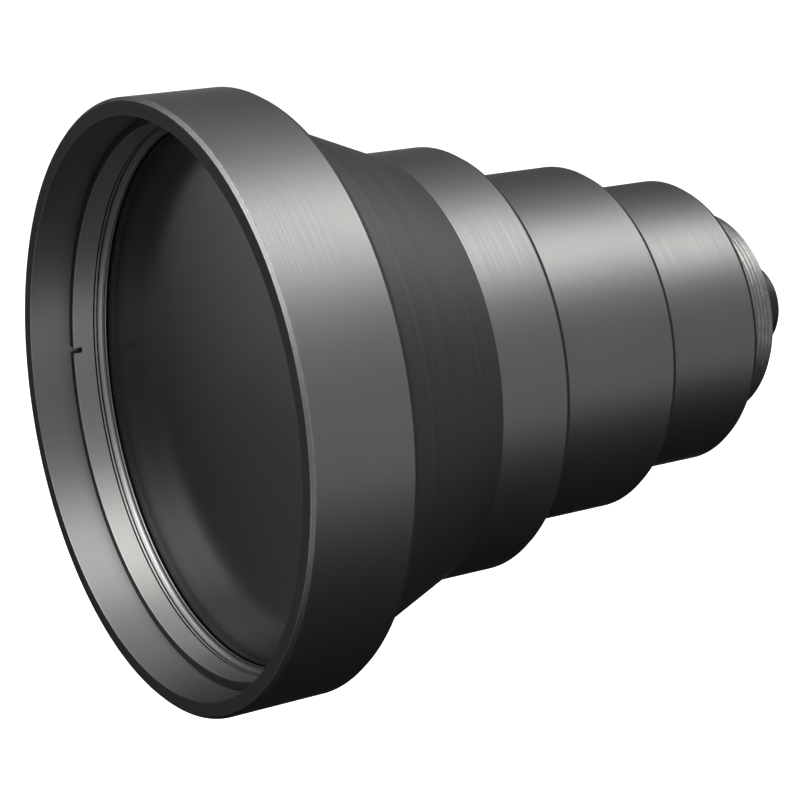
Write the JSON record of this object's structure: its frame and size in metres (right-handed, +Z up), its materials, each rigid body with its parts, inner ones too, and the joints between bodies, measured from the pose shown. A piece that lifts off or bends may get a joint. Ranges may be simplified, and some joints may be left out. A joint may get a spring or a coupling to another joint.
{
  "type": "thermal imaging lens",
  "caption": "Fixed-focus thermal imaging lens: wide front hood with a domed infrared element, cone and stepped barrels down to a threaded camera mount.",
  "frame": {"origin": "on the optical axis, half way along the lens", "axes": "+Y along the optical axis towards the camera, -Y out of the front glass, +Z up"},
  "size_m": [0.12, 0.1492, 0.12],
  "materials": {
    "dark_anodised": "satin dark grey hard anodising on turned aluminium",
    "black_anodised": "matte black anodising",
    "coated_germanium": "opaque dark infrared glass with a hard carbon coating, semi-gloss",
    "black_rubber": "matte black elastomer",
    "white_acetal": "turned natural acetal"
  },
  "bodies": {
    "root": {"main_housing": "dark_anodised", "front_retaining_ring": "dark_anodised", "front_slip_washer": "dark_anodised", "front_pressure_ring": "dark_anodised", "front_lens": "coated_germanium", "front_lens_seal": "black_rubber", "second_lens": "coated_germanium", "second_retaining_ring": "black_anodised", "middle_barrel": "dark_anodised", "middle_barrel_seal": "black_rubber", "third_lens": "coated_germanium", "third_retaining_ring": "black_anodised", "aperture_stop": "black_anodised", "stop_spacer": "black_anodised", "rear_barrel": "dark_anodised", "rear_barrel_seal": "black_rubber", "fourth_lens": "coated_germanium", "fourth_retaining_ring": "black_anodised", "athermal_spacer": "white_acetal", "mount_ring": "dark_anodised", "mount_ring_seal": "black_rubber", "mount_face_seal": "black_rubber", "rear_cell": "black_anodised", "rear_cell_seal": "black_rubber", "field_lens": "coated_germanium", "field_retaining_ring": "black_anodised"}
  },
  "joints": []
}
